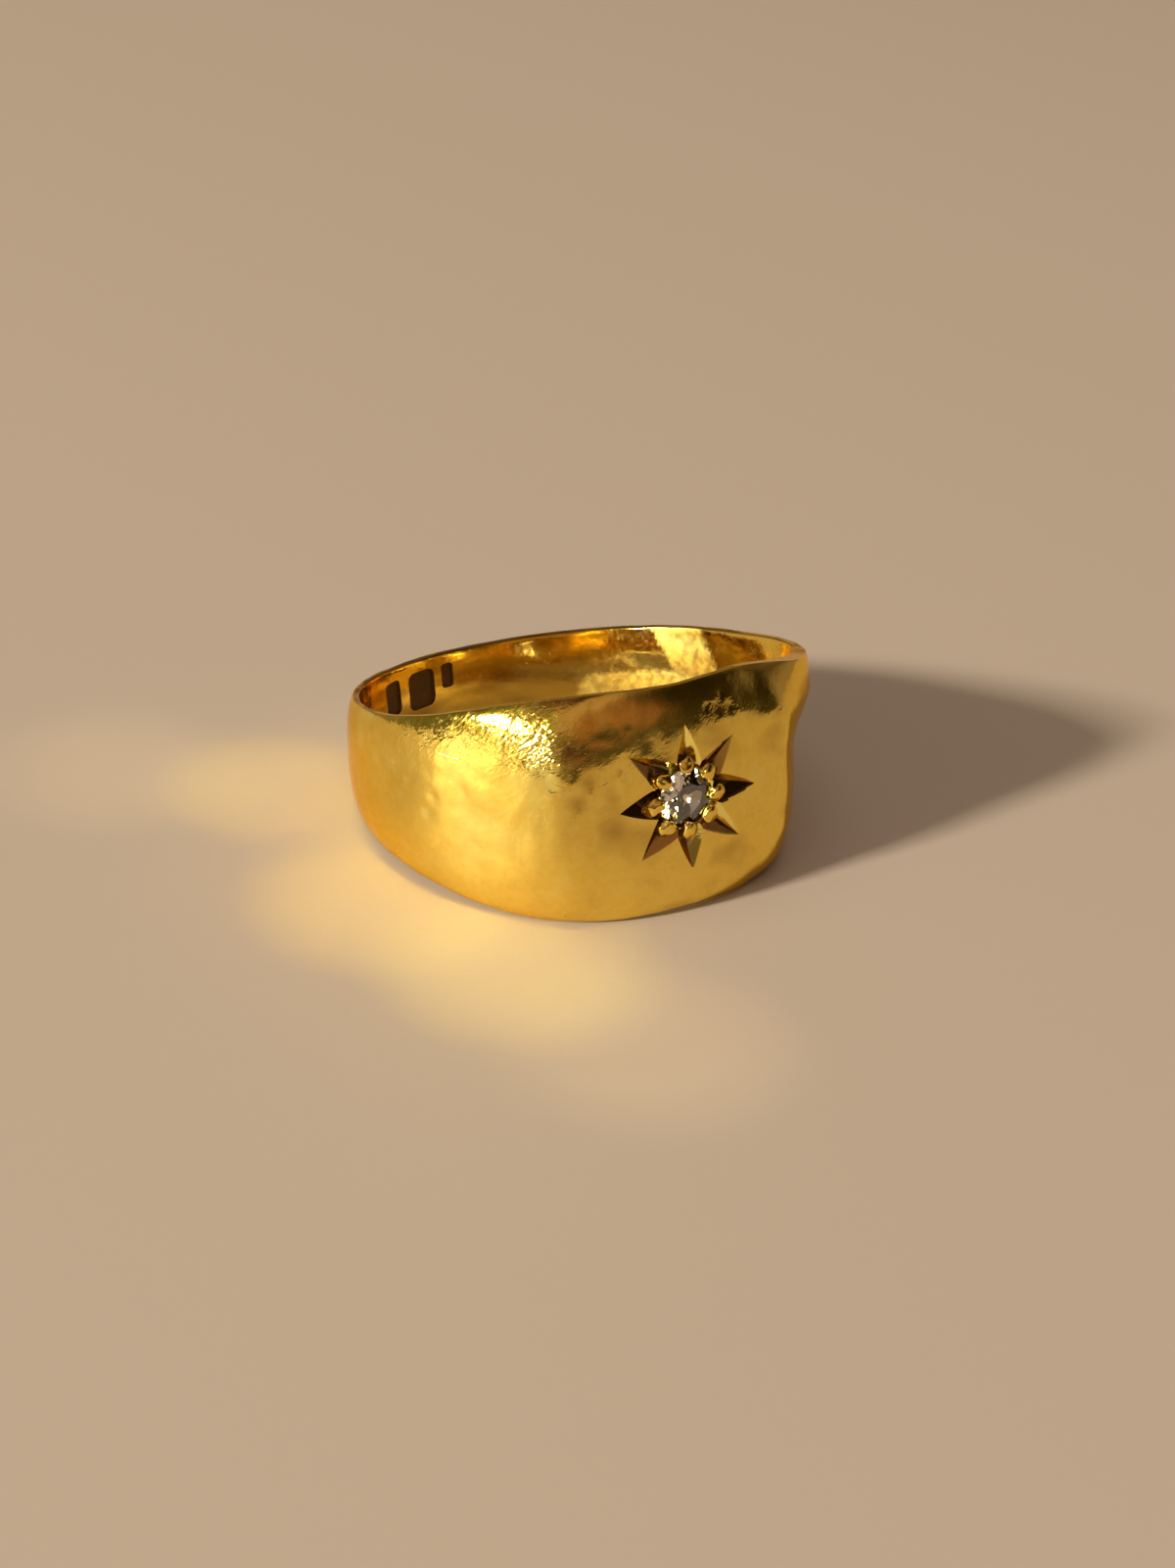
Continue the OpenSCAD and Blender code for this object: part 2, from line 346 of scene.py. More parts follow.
def clean(obj):
    """Merges the tiny leftovers of the cuts, and keeps only the largest connected part."""
    name = obj.name
    edit(obj)
    bpy.ops.mesh.remove_doubles(threshold=MERGE)
    bpy.ops.mesh.dissolve_degenerate(threshold=THIN)
    bpy.ops.mesh.select_all(action="SELECT")
    bpy.ops.mesh.separate(type="LOOSE")
    end_edit()
    parts = sorted(bpy.context.selected_objects, key=lambda part: len(part.data.vertices))
    largest = parts.pop()
    for flake in parts:
        bpy.data.objects.remove(flake)
    largest.name = largest.data.name = name
    return only(largest)


def share(angle, column):
    """Smooth curve through one column of SECTIONS, level at the face and at the back."""
    a, at, value = np.abs(angle), SECTIONS[:, ANGLE], SECTIONS[:, column]
    slope = np.zeros(len(at))
    slope[1:-1] = (value[2:] - value[:-2]) / (at[2:] - at[:-2])
    i = np.clip(np.searchsorted(at, a, side="right") - 1, 0, len(at) - 2)
    step = at[i + 1] - at[i]
    t = (a - at[i]) / step
    rise, ease = 3 * t**2 - 2 * t**3, t**3 - 2 * t**2 + t
    return (value[i] * (1 - rise) + value[i + 1] * rise
            + step * (slope[i] * ease + slope[i + 1] * (t**3 - t**2)))


def bell(a, middle, reach):
    return np.exp(-(((a - middle) / reach) ** 2))


def smooth(t):
    c = np.clip(t, 0, 1)
    return c * c * (3 - 2 * c)


class Band:
    """The band's curves in its own frame, in mm: its axis is Z and its face looks along -Y.
    Angles are degrees from the face towards +X."""

    # Heights at which the spread shoulder starts and is whole, outside and inside
    OUTER_FLARE = (0.3, 2.5)
    INNER_FLARE = (0.7, 3.7)
    # Degrees over which the worn dip in the edge and the full shoulder fade
    DIP_REACH = 20.0
    ROLL_REACH = 13.0

    def __init__(self, sizes):
        self.s = sizes

    def wall(self, a):
        more = np.maximum(share(a, WALL_SHARE), 0)
        return self.s.back_wall + (self.s.corner_wall - self.s.back_wall) * more

    def rim(self, a):
        more = np.maximum(share(a, WIDTH_SHARE), 0)
        return self.s.back_rim + (self.s.face_rim - self.s.back_rim) * more

    def low_half(self, a):
        more = share(a, WIDTH_SHARE)
        return (self.s.back_width + (self.s.face_width - self.s.back_width) * more) / 2

    def high_half(self, a):
        return self.low_half(a) - self.s.edge_dip * bell(a, self.s.dip_angle, self.DIP_REACH)

    def half(self, a, side):
        return np.where(side > 0, self.high_half(a), self.low_half(a))

    def spread(self, a, z, heights):
        foot, top = heights
        grow = smooth((z - foot) / (top - foot))
        return self.s.flare * bell(a, self.s.flare_angle, self.s.flare_reach) * grow

    def hole_r(self, a, z):
        worn = self.s.comfort * (z / self.half(a, z)) ** 2
        return HOLE_R + worn + self.spread(a, z, self.INNER_FLARE)

    def outer_r(self, a, z):
        t = np.clip(np.abs(z) / self.half(a, z), 0, 1) * self.s.edge_slope
        cut = np.sqrt(1 - self.s.edge_slope**self.s.crown_power)
        bulge = (np.sqrt(1 - t**self.s.crown_power) - cut) / (1 - cut)
        bulge += (1 - bulge) * (z > 0) * self.s.roll_fill * bell(a, self.s.roll_angle, self.ROLL_REACH)
        crown = self.rim(a) + (self.wall(a) - self.rim(a)) * bulge
        return HOLE_R + crown + self.spread(a, z, self.OUTER_FLARE)

    def point(self, a, r, z):
        turn = np.radians(a)
        return np.stack([r * np.sin(turn), -r * np.cos(turn), z], axis=-1)

    def place_of(self, points):
        """(degrees from the face, distance from the axis, height) of each point."""
        a = np.degrees(np.arctan2(points[:, 0], -points[:, 1]))
        return a, np.hypot(points[:, 0], points[:, 1]), points[:, 2]

    def depth(self, points):
        """How far each point is below the uncut surface, in mm."""
        a, r, z = self.place_of(points)
        below = np.minimum(self.outer_r(a, z) - r, r - self.hole_r(a, z))
        return np.minimum(below, self.half(a, z) - np.abs(z))


# Steps of the section's loop, on each side of the middle: up the outside, over the flat
# rim, round the hole's edge, and down the inside to the middle
OUTSIDE, FLAT, EDGE, INSIDE = 40, 4, 5, 11
LOOP = 2 * (OUTSIDE + FLAT + EDGE + INSIDE)
# The stations are closer at the face than at the back by this share
CROWDING = 0.45


def knocks(band):
    """The battered shoulder's small dents, in the way DENTS lists them."""
    rng = np.random.default_rng(5)
    spans = [KNOCKS[key] for key in ("angles", "below", "radius", "depth")]
    drawn = [rng.uniform(*span, KNOCKS["count"]) for span in spans]
    for at, below, reach, deep in zip(*drawn):
        yield at, float(band.high_half(at)) - below, reach, deep


# Cells per mm of the noise that makes the slow waves, the quick ones over them and the streaks
# round the finger hole, the quick waves' share, and where their noise starts
SLOW, QUICK, STREAKS = 0.55, 1.3, Vector((0.3, 0.3, 1.3))
QUICK_SHARE, QUICK_START = 0.4, Vector((7, 3, 5))
# The streaks fade at this distance from the hole's wall, and the dents start and are whole at
# these, in mm
STREAK_REACH, DENT_FROM, DENT_WHOLE = 0.1, 0.25, 0.55
# The band's edges: cells of their noise per mm, how uneven and how worn down they are, and how
# far that fades, in mm
EDGE_CELLS, EDGE_UNEVEN, EDGE_WORN, EDGE_REACH = 0.8, 0.03, 0.02, 0.8


def wear(band, co):
    """Slow waves and dents of a ring that was worn for long, pushed in along the radius."""
    a, r, z = band.place_of(co)
    away = np.clip(r - band.hole_r(a, z), 0, 1)
    slow = np.array([noise.noise(Vector(p) * SLOW) for p in co])
    quick = np.array([noise.noise(Vector(p) * QUICK + QUICK_START) for p in co])
    push = band.s.wave * (slow + QUICK_SHARE * quick) * away
    streaks = np.array([noise.noise(Vector(p) * STREAKS) for p in co])
    push += band.s.inner_wave * streaks * smooth(1 - away / STREAK_REACH)
    deep_enough = smooth((away - DENT_FROM) / (DENT_WHOLE - DENT_FROM))
    for at, up, reach, deep in (*DENTS, *knocks(band)):
        along = np.radians(a - at) * r
        push -= deep * np.exp(-(along**2 + (z - up) ** 2) / reach**2) * deep_enough
    uneven = np.array([noise.noise(Vector((x, y, 0)) * EDGE_CELLS) for x, y, _ in co])
    near_edge = smooth(1 - (band.half(a, z) - np.abs(z)) / EDGE_REACH)
    out = np.stack([np.sin(np.radians(a)), -np.cos(np.radians(a)), np.zeros_like(a)], axis=-1)
    moved = co + out * push[:, None]
    moved[:, 2] -= np.sign(z) * (EDGE_UNEVEN * uneven + EDGE_WORN) * near_edge
    return moved


def make_band(band, sizes):
    """The band before it is cut: a circle spun round the finger, whose loops take the
    band's section."""
    middle_r, loop_r = HOLE_R + 1, 1
    bpy.ops.mesh.primitive_circle_add(
        vertices=LOOP, radius=loop_r, location=(0, -middle_r, 0), rotation=(pi / 2, 0, pi / 2)
    )
    obj = new_piece("ring_gold")
    spin_round(obj, sizes.around)
    co = points_of(obj)
    turn, r, z = band.place_of(co)
    turn = np.radians(turn)
    a = np.degrees(turn - CROWDING * np.sin(turn))
    signed = np.rint(np.arctan2(z, r - middle_r) / (2 * pi) * LOOP)
    step, side = np.abs(signed), np.where(signed >= 0, 1.0, -1.0)
    half = band.half(a, side)
    flat_end, edge_end = OUTSIDE + FLAT, OUTSIDE + FLAT + EDGE
    soft = sizes.inner_edge

    up = side * half * np.sin(pi / 2 * np.minimum(step / OUTSIDE, 1))
    out_r = band.outer_r(a, up)
    over = np.clip((step - OUTSIDE) / FLAT, 0, 1)
    round_turn = np.clip((step - flat_end) / EDGE, 0, 1) * pi / 2
    down = np.clip((step - edge_end) / INSIDE, 0, 1)
    up = np.where(step > flat_end, side * (half - soft + soft * np.cos(round_turn)), up)
    up = np.where(step > edge_end, side * (half - soft) * (1 - down), up)
    hole_r = band.hole_r(a, up)
    new_r = np.where(step > OUTSIDE, out_r + (hole_r + soft - out_r) * over, out_r)
    new_r = np.where(step > flat_end, hole_r + soft * (1 - np.sin(round_turn)), new_r)
    new_r = np.where(step > edge_end, hole_r, new_r)
    set_points(obj, wear(band, band.point(a, new_r, up)))
    outward(obj)
    return obj


class Star:
    """Where the star sits: round the Z axis in its own frame, with +Z out of the face."""

    def __init__(self, band, sizes):
        self.band, self.s = band, sizes
        self.face_r = float(band.outer_r(0.0, sizes.star_up))
        middle = Matrix.Translation((0, -self.face_r, sizes.star_up))
        self.place = middle @ Matrix.Rotation(pi / 2, 4, "X")

    def drop(self, x, y):
        """How far the face falls away from the star's plane."""
        h = y + self.s.star_up
        a = np.arcsin(x / self.face_r)
        for _ in range(3):
            a = np.arcsin(x / self.band.outer_r(np.degrees(a), h))
        return self.face_r - self.band.outer_r(np.degrees(a), h) * np.cos(a)


# How many slices a ray's cutter has, and how far inside the stone's edge it starts, in mm
SLICES, RAY_INSIDE = 8, 0.02
# Half width of a ray where it meets the next, as a share of that place's radius, and how many
# times deeper its cutter is than the cut
ROOT_HALF, RAY_OVER = tan(pi / 8) * 0.94, 1.9
# How far inside the stone's edge the dish round it ends, in mm
DISH_INSIDE = 0.1


def ray_cutter(star, angle, tip, aside):
    """A graver's cut: a V that rises to a point, its sides slightly bellied."""
    s = star.s
    inner = s.stone_r - RAY_INSIDE
    bpy.ops.mesh.primitive_cone_add(
        vertices=3, radius1=1, radius2=0, depth=1, location=(0, 0, 0.5)
    )
    obj = new_piece("ray_cut")
    edit(obj)
    slice_at([i / SLICES for i in range(1, SLICES)], (0, 0, 1))
    end_edit()
    co = points_of(obj)
    # The cone's three corners: 0 at the bottom of the cut, 1 and -1 at its sides
    corner = np.round(np.degrees(np.arctan2(co[:, 1], co[:, 0])) / 120)
    x = inner + (tip - inner) * np.clip(co[:, 2], 0, 1)
    left = (tip - x) / (tip - s.root_r)
    full = left * (1 + s.ray_belly * (1 - left))
    half = s.root_r * ROOT_HALF * full
    turn = radians(angle)
    fall = np.array([star.drop(d * cos(turn), d * sin(turn)) for d in x])
    y = np.where(corner == 0, aside * half, corner * half * RAY_OVER)
    z = np.where(corner == 0, -s.ray_depth * full, s.ray_depth * full * (RAY_OVER - 1)) - fall
    set_points(obj, np.stack([x, y, z], axis=-1))
    obj.data.transform(Matrix.Rotation(turn, 4, "Z"))
    outward(obj)
    return obj


LATHE_STEPS = 96


def lathe(name, outline):
    """A solid turned round Z from an outline of (radius, height) points."""
    bpy.ops.mesh.primitive_circle_add(vertices=len(outline), radius=1, fill_type="NOTHING")
    obj = new_piece(name)
    set_points(obj, np.array([(r, 0, z) for r, z in outline]))
    spin_round(obj, LATHE_STEPS)
    outward(obj)
    return obj


def star_cutter(star):
    """Eight rays and the dish round the stone, as one cutter."""
    s = star.s
    whole, *others = [ray_cutter(star, angle, tip, aside) for angle, tip, aside, _ in RAYS]
    others.append(lathe("dish", [
        (0, -s.girdle_depth), (s.stone_r - DISH_INSIDE, -s.girdle_depth),
        (s.root_r, s.bead_proud), (0, s.bead_proud),
    ]))
    for other in others:
        combine(whole, other, "UNION")
    return whole


# A bead's height above its middle and the length of its foot, next to its radius, how far its
# top leans over the stone in mm, how much its width varies as a share, and the cells of the
# noise for its lumps and for its width
BEAD_TOP, BEAD_FOOT, BEAD_LEAN, BEAD_VARIES = 0.7, 2.4, 0.12, 0.12
LUMP_CELLS, WIDTH_CELLS = 1.05, 0.37


def bead(star, angle, distance):
    """A lump of gold raised at a ray's inner end, pressed flat on top and over the stone."""
    s = star.s
    bpy.ops.mesh.primitive_uv_sphere_add(segments=36, ring_count=24, radius=1)
    obj = new_piece("bead")
    co = points_of(obj)
    own = Vector((angle, 0, 0))
    lump = np.array([noise.noise(Vector(p) * LUMP_CELLS + own) for p in co])
    co *= s.bead_r + s.bead_lump * lump[:, None]
    lean = BEAD_LEAN * np.maximum(co[:, 2], 0) / s.bead_r
    co[:, 2] *= np.where(co[:, 2] > 0, BEAD_TOP, BEAD_FOOT)
    co[:, 1] *= 1.0 + BEAD_VARIES * noise.noise(own * WIDTH_CELLS)
    co[:, 0] += distance - lean
    co[:, 2] += s.bead_proud - BEAD_TOP * s.bead_r
    set_points(obj, co)
    obj.data.transform(Matrix.Rotation(radians(angle), 4, "Z"))
    return obj


# The drilled hole's radius as a share of the stone's, and how far the seat opens above the stone
# and the drill runs past the wall, in mm
DRILL_SHARE, SEAT_OVER, DRILL_PAST = 0.55, 0.2, 1


def seat_cutter(star):
    """The stone's own outline with its gap, and the hole drilled below."""
    s = star.s
    wide, drill, gap = s.stone_r + s.stone_gap, s.stone_r * DRILL_SHARE, s.stone_gap
    low = -s.girdle_depth - s.girdle_h - gap
    culet = low - s.pavilion_h
    slope = (low - culet) / (wide - s.culet_r - gap)
    drill_top = culet + (drill - s.culet_r - gap) * slope
    drill_end = -star.band.s.corner_wall - DRILL_PAST
    return lathe("seat", [
        (0, drill_end), (drill, drill_end), (drill, drill_top),
        (wide, low), (wide, -s.girdle_depth + gap),
        (s.table_r + gap, s.crown_h - s.girdle_depth + gap),
        (s.table_r + gap, s.crown_h + SEAT_OVER), (0, s.crown_h + SEAT_OVER),
    ])


# A stamped recess: its corners as a share of its smaller side, its floor's size as a share of
# its mouth's, the slices that let it follow the wall, and where its cutter starts, in mm
MARK_CORNER, MARK_FLOOR, MARK_SLICES, MARK_INSIDE = 0.22, 0.9, 8, 0.5


def mark_cutter(band, sizes, at, up, wide, high):
    """A stamped recess with rounded corners and a floor that follows the hole's wall."""
    bpy.ops.mesh.primitive_cube_add(size=1, location=(0, 0, 0))
    obj = new_piece("mark")
    set_points(obj, points_of(obj) * np.array([wide, 1, high]))
    edit(obj)
    bpy.ops.mesh.select_all(action="DESELECT")
    end_edit()
    # The four edges that run into the wall are rounded
    verts = obj.data.vertices
    for edge in obj.data.edges:
        first, last = (verts[i].co for i in edge.vertices)
        edge.select = abs(first.y - last.y) > 0.5
    bpy.ops.object.mode_set(mode="EDIT")
    bpy.ops.mesh.select_mode(type="EDGE")
    bpy.ops.mesh.bevel(offset=MARK_CORNER * min(wide, high), segments=3, affect="EDGES")
    slice_at([(i / MARK_SLICES - 0.5) * wide for i in range(1, MARK_SLICES)], (1, 0, 0))
    end_edit()
    co = points_of(obj)
    deep = co[:, 1] > 0
    taper = np.where(deep, MARK_FLOOR, 1.0)
    a = at + np.degrees(co[:, 0] * taper / HOLE_R)
    z = up + co[:, 2] * taper
    r = np.where(deep, band.hole_r(a, z) + sizes.mark_depth, HOLE_R - MARK_INSIDE)
    set_points(obj, band.point(a, r, z))
    outward(obj)
    return obj


# Depths at which a cut counts as whole, in the star and in the stamped recesses, in mm
STAR_FULL, MARK_FULL = 0.46, 0.12
# Dirt lies between the beads: how far from the star's middle it ends and over how far it fades,
# the depth at which it starts and over which it grows, all in mm, and how dirty it is
STAR_ROOT, ROOT_FADE, ROOT_FROM, ROOT_GROWS, ROOT_DIRT = 2.1, 0.5, 0.12, 0.1, 0.6
# Wrinkled places of the outside, in degrees from the face, mm below the upper edge, and shares
# of the deepest wrinkles: all of it, the left shoulder's flecked patch, the strip beside that,
# and a flake above the star; and the distance from the hole's wall at which the outside starts
# and over which it becomes whole, in mm
CALM, OUTSIDE_FROM, OUTSIDE_GROWS = 0.05, 0.2, 0.2
FLECKED = {"at": -37, "reach": 8, "down_to": 3.1, "fade": 0.7, "share": 0.95}
STRIP = {"start": -92, "grow": 20, "end": -42, "fade": 8, "below": 1.1, "deep": 0.8, "share": 0.4}
FLAKE = {"at": 11, "reach": 5, "below": 1.35, "deep": 0.4, "share": 0.6}
# The face is polished and the rest has a soft skin, which grows from the first angle by the
# second, from the share at the face
SATIN_FROM, SATIN_GROWS, SATIN_FACE = 18, 14, 0.06


def battered_share(band, a, r, z):
    """How deep the wrinkles are at each point, as a share."""
    below = band.high_half(a) - z
    flecked = bell(a, FLECKED["at"], FLECKED["reach"])
    flecked *= smooth((FLECKED["down_to"] - below) / FLECKED["fade"])
    strip = smooth((a - STRIP["start"]) / STRIP["grow"]) * smooth((STRIP["end"] - a) / STRIP["fade"])
    strip *= bell(below, STRIP["below"], STRIP["deep"])
    flake = bell(a, FLAKE["at"], FLAKE["reach"]) * bell(below, FLAKE["below"], FLAKE["deep"])
    outside = smooth((r - band.hole_r(a, z) - OUTSIDE_FROM) / OUTSIDE_GROWS)
    wrinkled = FLECKED["share"] * flecked + STRIP["share"] * strip + FLAKE["share"] * flake
    return (CALM + wrinkled) * outside


def mark_up(gold, band, star):
    """Stores, for the material, how deep in a cut, how battered and how satin each point is."""
    co = points_of(gold)
    a, r, z = band.place_of(co)
    below = band.depth(co)
    front = np.abs(a) < 90
    from_stone = np.hypot(co[:, 0], z - star.s.star_up)
    near_stone = smooth((STAR_ROOT - from_stone) / ROOT_FADE)
    root = near_stone * smooth((below - ROOT_FROM) / ROOT_GROWS) * front
    recess = below / np.where(front, STAR_FULL, MARK_FULL) + ROOT_DIRT * root
    satin = SATIN_FACE + (1 - SATIN_FACE) * smooth((np.abs(a) - SATIN_FROM) / SATIN_GROWS)
    battered = battered_share(band, a, r, z)
    for name, values in (("recess", recess), ("battered", battered), ("satin", satin)):
        made = gold.data.attributes.new(name, "FLOAT", "POINT")
        made.data.foreach_set("value", np.clip(values, 0, 1).astype(np.float32))


# Edges that turn more than this stay sharp
SHARP = radians(32)


class RING_OT_gold(bpy.types.Operator):
    """Models the gold: the worn band, the star in its face, the beads, the seat and the marks."""

    bl_idname = "ring.gold"
    bl_label = "Gold ring"

    def execute(self, context):
        sizes, star_sizes = settings("band_sizes"), settings("star_sizes")
        band = Band(sizes)
        star = Star(band, star_sizes)
        gold = make_band(band, sizes)
        cutter = star_cutter(star)
        cutter.data.transform(star.place)
        combine(gold, cutter, "DIFFERENCE")
        for angle, _, _, distance in RAYS:
            grain = bead(star, angle, distance)
            grain.data.transform(star.place)
            outward(grain)
            combine(gold, grain, "UNION")
        seat = seat_cutter(star)
        seat.data.transform(star.place)
        combine(gold, seat, "DIFFERENCE")
        for at, up, wide, high in MARKS:
            combine(gold, mark_cutter(band, star_sizes, at, up, wide, high), "DIFFERENCE")
        gold = clean(gold)
        bpy.ops.object.shade_smooth_by_angle(angle=SHARP)
        mark_up(gold, band, star)
        gold.data.transform(RING_PLACE @ Matrix.Scale(MM, 4))
        gold.data.update()
        gold.data.materials.clear()
        gold.data.materials.append(gold_material(band))
        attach(gold, "root")
        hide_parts("ring_body")
        return {"FINISHED"}


class Nodes:
    """A short way to write a node tree. Each input is a value or the socket that feeds it."""

    def __init__(self, tree):
        self.tree = tree

    def add(self, kind, inputs=None, **values):
        node = self.tree.nodes.new(kind)
        for key, value in values.items():
            setattr(node, key, value)
        for key, value in (inputs or {}).items():
            if isinstance(value, bpy.types.NodeSocket):
                self.tree.links.new(value, node.inputs[key])
            else:
                node.inputs[key].default_value = value
        return node

    def math(self, how, first, second=0.0, **more):
        return self.add("ShaderNodeMath", {0: first, 1: second}, operation=how, **more).outputs[0]

    def vector(self, how, first, second):
        return self.add("ShaderNodeVectorMath", {0: first, 1: second}, operation=how).outputs[0]

    def dot(self, first, second):
        node = self.add("ShaderNodeVectorMath", {0: first, 1: second}, operation="DOT_PRODUCT")
        return node.outputs["Value"]

    def highest(self, values):
        """The highest of several values at each point."""
        whole = values[0]
        for value in values[1:]:
            whole = self.math("MAXIMUM", whole, value)
        return whole

    def mapped(self, value, low, high, to_low=0.0, to_high=1.0):
        return self.add("ShaderNodeMapRange", {
            "Value": value, "From Min": low, "From Max": high, "To Min": to_low, "To Max": to_high,
        }).outputs["Result"]

    def noise(self, vector, scale, detail=2.0, rough=0.5):
        """Noise with scale cells per metre."""
        return self.add("ShaderNodeTexNoise", {
            "Vector": vector, "Scale": scale, "Detail": detail, "Roughness": rough,
        }).outputs["Fac"]

    def mix(self, amount, first, second):
        inputs = {0: amount, 6: first, 7: second}
        return self.add("ShaderNodeMix", inputs, data_type="RGBA").outputs[2]

    def group(self, group, **inputs):
        """Places a group, and gives its outputs."""
        return self.add("ShaderNodeGroup", inputs, node_tree=group).outputs


def new_group(name, inputs, outputs):
    """An empty shader group with named float or vector sockets."""
    group = bpy.data.node_groups.new(name, "ShaderNodeTree")
    for socket, value in inputs.items():
        kind = "NodeSocketVector" if value is None else "NodeSocketFloat"
        made = group.interface.new_socket(socket, in_out="INPUT", socket_type=kind)
        if value is not None:
            made.default_value = value
    for socket in outputs:
        group.interface.new_socket(socket, in_out="OUTPUT", socket_type="NodeSocketFloat")
    return group, Nodes(group)


def scratch_group():
    """Fine hairline scratches along the vector's X, thin contour lines of a stretched noise."""
    group, n = new_group(
        "Hairline scratches",
        {"Vector": None, "Scale": 1500.0, "Stretch": 16.0, "Width": 0.03, "Cover": 0.5},
        ["Mask"],
    )
    source = n.add("NodeGroupInput").outputs
    parts = n.add("ShaderNodeSeparateXYZ", {0: source["Vector"]}).outputs
    squeezed = n.add("ShaderNodeCombineXYZ", {
        0: n.math("DIVIDE", parts[0], source["Stretch"]), 1: parts[1], 2: parts[2],
    }).outputs[0]
    field = n.noise(squeezed, source["Scale"], 2.0, 0.6)
    line = n.math("ABSOLUTE", n.math("SUBTRACT", field, 0.5))
    thin = n.mapped(line, 0.0, source["Width"], 1.0, 0.0)
    patches = n.noise(source["Vector"], 700.0, 3.0, 0.6)
    shown = n.mapped(patches, n.math("SUBTRACT", 0.95, source["Cover"]), 0.95, 0.0, 1.0)
    n.add("NodeGroupOutput", {"Mask": n.math("MULTIPLY", thin, shown)})
    return group


def single_group():
    """One scratch between two points, its sides a little ragged."""
    group, n = new_group(
        "Single scratch",
        {"Vector": None, "Start": None, "End": None, "Width": 5e-5, "Thinnest": 0.3}, ["Mask"],
    )
    source = n.add("NodeGroupInput").outputs
    span = n.vector("SUBTRACT", source["End"], source["Start"])
    here = n.vector("SUBTRACT", source["Vector"], source["Start"])
    along = n.math("DIVIDE", n.dot(here, span), n.dot(span, span), use_clamp=True)
    nearest = n.add("ShaderNodeVectorMath", {0: span, "Scale": along}, operation="SCALE").outputs[0]
    away = n.add("ShaderNodeVectorMath", {0: here, 1: nearest}, operation="DISTANCE").outputs["Value"]
    ragged = n.mapped(n.noise(source["Vector"], 6000.0, 2.0), 0.3, 0.7, source["Thinnest"], 1.2)
    half = n.math("MULTIPLY", source["Width"], n.math("MULTIPLY", ragged, 0.5))
    n.add("NodeGroupOutput", {"Mask": n.mapped(away, 0.0, half, 1.0, 0.0)})
    return group


def worn_group():
    """Height in metres of hand-worked, long-worn metal: soft waves, a finer skin, and wrinkles
    along the vector's X, each as high as its own input says."""
    group, n = new_group(
        "Worn surface",
        {"Vector": None, "Waves": 3e-5, "Ripples": 5e-6, "Skin": 1.5e-6, "Wrinkles": 6e-6,
         "Stretch": 2.2},
        ["Height"],
    )
    source = n.add("NodeGroupInput").outputs
    place = source["Vector"]
    waves = n.math("MULTIPLY", n.noise(place, 700.0, 1.0), source["Waves"])
    ripples = n.math("MULTIPLY", n.noise(place, 1700.0, 1.0), source["Ripples"])
    waves = n.math("ADD", waves, ripples)
    skin = n.math("MULTIPLY", n.noise(place, 3400.0, 2.0), source["Skin"])
    parts = n.add("ShaderNodeSeparateXYZ", {0: place}).outputs
    squeezed = n.add("ShaderNodeCombineXYZ", {
        0: n.math("DIVIDE", parts[0], source["Stretch"]), 1: parts[1], 2: parts[2],
    }).outputs[0]
    fold = n.math("ABSOLUTE", n.math("SUBTRACT", n.noise(squeezed, 2700.0, 3.0, 0.6), 0.5))
    wrinkles = n.math("MULTIPLY", fold, source["Wrinkles"])
    n.add("NodeGroupOutput", {"Height": n.math("ADD", n.math("ADD", waves, skin), wrinkles)})
    return group


def tone_group():
    """Slow patches of redder and paler metal."""
    group, n = new_group("Metal tone", {"Vector": None, "Scale": 260.0}, ["Mask"])
    source = n.add("NodeGroupInput").outputs
    n.add("NodeGroupOutput", {
        "Mask": n.mapped(n.noise(source["Vector"], source["Scale"], 4.0, 0.6), 0.35, 0.7),
    })
    return group


def new_material(name):
    """A material, its node tree and its shader."""
    material = bpy.data.materials.new(name)
    material.use_nodes = True
    n = Nodes(material.node_tree)
    shader = material.node_tree.nodes["Principled BSDF"]
    return material, n, shader


# Three crossing sets of scratches: turn of the pattern, scale, line width and cover
SCRATCHES = [
    ((0.3, 0.2, 0.5), 1500.0, 0.07, 0.55),
    ((0.1, 1.1, -0.6), 2100.0, 0.09, 0.50),
    ((0.9, -0.4, 1.9), 1100.0, 0.06, 0.48),
]
# Depths in metres of the hairlines, the single scratches, the battered places' wrinkles and
# the satin skin, and of the calm surface's own wrinkles and skin
SCRATCH_DEPTH, SINGLE_DEPTH, WRINKLE_DEPTH, SATIN_SKIN = 1.2e-6, 5e-6, 160e-6, 2.5e-6
CALM_WRINKLE, CALM_SKIN = 1e-6, 1.5e-6
# The walls of the cuts that face this way, down and toward the low sun, get a painted highlight; the
# others get stain that is also painted shade
LIT_SIDE = (-0.87, 0.0, -0.5)


def strokes(n, single, place, rows, surface_r, thinnest):
    """Mask of the strokes in rows, whose ends lie on the surface that surface_r gives."""
    masks = []
    for first, low, last, high, width in rows:
        ends = []
        for at, up in ((first, low), (last, high)):
            r, turn = float(surface_r(at, up)), radians(at)
            ends.append(RING_PLACE @ (Vector((r * sin(turn), -r * cos(turn), up)) * MM))
        stroke = n.group(single, Vector=place, Start=ends[0], End=ends[1], Width=width * MM,
                         Thinnest=thinnest)
        masks.append(stroke["Mask"])
    return n.highest(masks)


